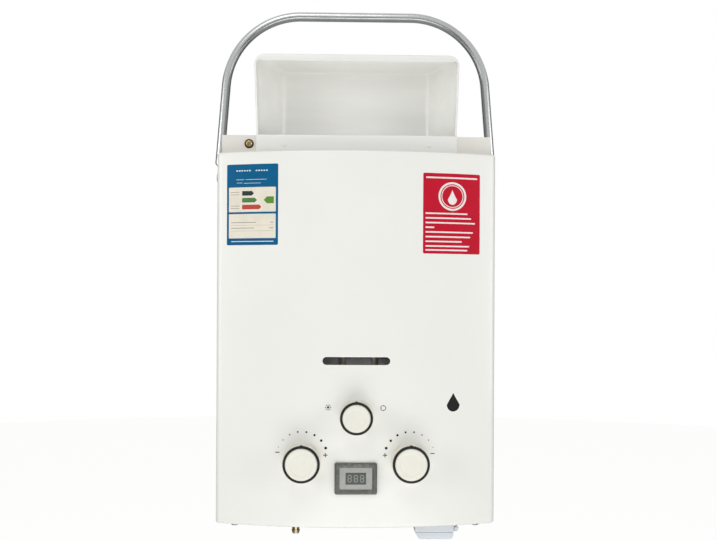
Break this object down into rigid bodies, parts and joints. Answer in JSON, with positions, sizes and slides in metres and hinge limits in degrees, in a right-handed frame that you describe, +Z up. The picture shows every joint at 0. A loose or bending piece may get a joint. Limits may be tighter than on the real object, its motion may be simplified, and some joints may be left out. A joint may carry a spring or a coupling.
{
  "type": "portable gas water heater",
  "caption": "Bow-fronted sheet-steel gas water heater with carrying handle, open-fronted flue hood, turning control knobs and a hinged battery lid.",
  "frame": {"origin": "centre of the hanging keyhole's round part on the rear face of the back plate", "axes": "+Z up, +Y to the wall behind, front faces -Y, +X to the right seen from the front"},
  "size_m": [0.3132, 0.1433, 0.577],
  "materials": {
    "white_enamel": "gloss white baked enamel on sheet steel",
    "rail_enamel": "pale grey-white enamel",
    "galvanised": "galvanised sheet steel",
    "hood_metal": "aluminised sheet steel, satin",
    "bright_steel": "bright drawn steel tube",
    "steel": "plain stainless steel",
    "zinc": "zinc-plated steel",
    "zinc_yellow": "yellow zinc-plated steel",
    "copper": "plain copper",
    "brass": "machined brass",
    "die_cast": "die-cast aluminium",
    "ceramic": "glazed insulator",
    "cream_plastic": "cream moulded ABS",
    "black_plastic": "black moulded plastic",
    "white_plastic": "white moulded plastic",
    "bezel_plastic": "dark grey moulded plastic",
    "panel_plastic": "mid grey moulded plastic",
    "window_plastic": "dark tinted window",
    "board": "green circuit board",
    "clear_grey_plastic": "bluish grey translucent plastic",
    "cell_sleeve": "printed steel sleeve, plain"
  },
  "bodies": {
    "case": {"back_plate": "galvanised", "top_deck": "rail_enamel", "bottom_plate": "galvanised", "front_cover": "white_enamel", "cover_screws": "zinc", "flue_hood": "hood_metal", "hood_rivets": "zinc", "rail_screw": "zinc_yellow", "flue_collector": "hood_metal", "heat_exchanger_fins": "copper", "heat_exchanger_tubes": "copper", "combustion_chamber": "copper", "chamber_coil": "copper", "overheat_cutout": "black_plastic", "burner_frame": "steel", "burner_bars": "steel", "gas_manifold": "brass", "season_valve_body": "die_cast", "gas_feed_pipe": "die_cast", "gas_valve_body": "die_cast", "gas_inlet": "brass", "water_valve_body": "brass", "diaphragm_housing": "brass", "valve_screws": "zinc", "micro_switch": "black_plastic", "spark_electrode": "ceramic", "flame_sensor": "ceramic", "igniter_box": "white_plastic", "cold_pipe": "copper", "hot_pipe": "copper", "pipe_nuts": "brass", "water_inlet": "brass", "water_outlet": "brass", "knob_seats": "cream_plastic", "display_bezel": "bezel_plastic", "display_panel": "panel_plastic", "display_window": "window_plastic", "display_board": "board", "battery_box": "clear_grey_plastic", "battery_cells": "cell_sleeve", "battery_springs": "zinc", "lid_pin": "zinc", "handle_bolts": "zinc", "handle_spacers": "white_plastic"},
    "gas_knob": {"gas_knob_cap": "cream_plastic", "gas_knob_skirt": "black_plastic", "gas_spindle": "steel"},
    "water_knob": {"water_knob_cap": "cream_plastic", "water_knob_skirt": "black_plastic", "water_spindle": "steel"},
    "season_knob": {"season_knob_cap": "cream_plastic", "season_knob_skirt": "black_plastic", "season_spindle": "steel"},
    "handle": {"handle_tube": "bright_steel"},
    "lid": {"battery_lid": "clear_grey_plastic"},
    "rod": {"push_rod": "steel"}
  },
  "joints": [
    {"name": "gas_turn", "type": "hinge", "parent": "case", "child": "gas_knob", "pos_m": [-0.0548, -0.13, -0.2865], "axis": [0, 1, 0], "range_deg": [-60, 60]},
    {"name": "water_turn", "type": "hinge", "parent": "case", "child": "water_knob", "pos_m": [0.0548, -0.13, -0.2865], "axis": [0, 1, 0], "range_deg": [-60, 60]},
    {"name": "season_turn", "type": "hinge", "parent": "case", "child": "season_knob", "pos_m": [0, -0.13, -0.2406], "axis": [0, 1, 0], "range_deg": [-65, 65]},
    {"name": "handle_tilt", "type": "hinge", "parent": "case", "child": "handle", "pos_m": [0, -0.03, 0.014], "axis": [1, 0, 0], "range_deg": [-45, 45]},
    {"name": "lid_hinge", "type": "hinge", "parent": "case", "child": "lid", "pos_m": [0.1063, -0.05, -0.362], "axis": [0, -1, 0], "range_deg": [0, 100]},
    {"name": "water_push", "type": "slide", "parent": "case", "child": "rod", "axis": [-1, 0, 0], "range_m": [0, 0.004], "stiffness_N_per_m": 500}
  ]
}
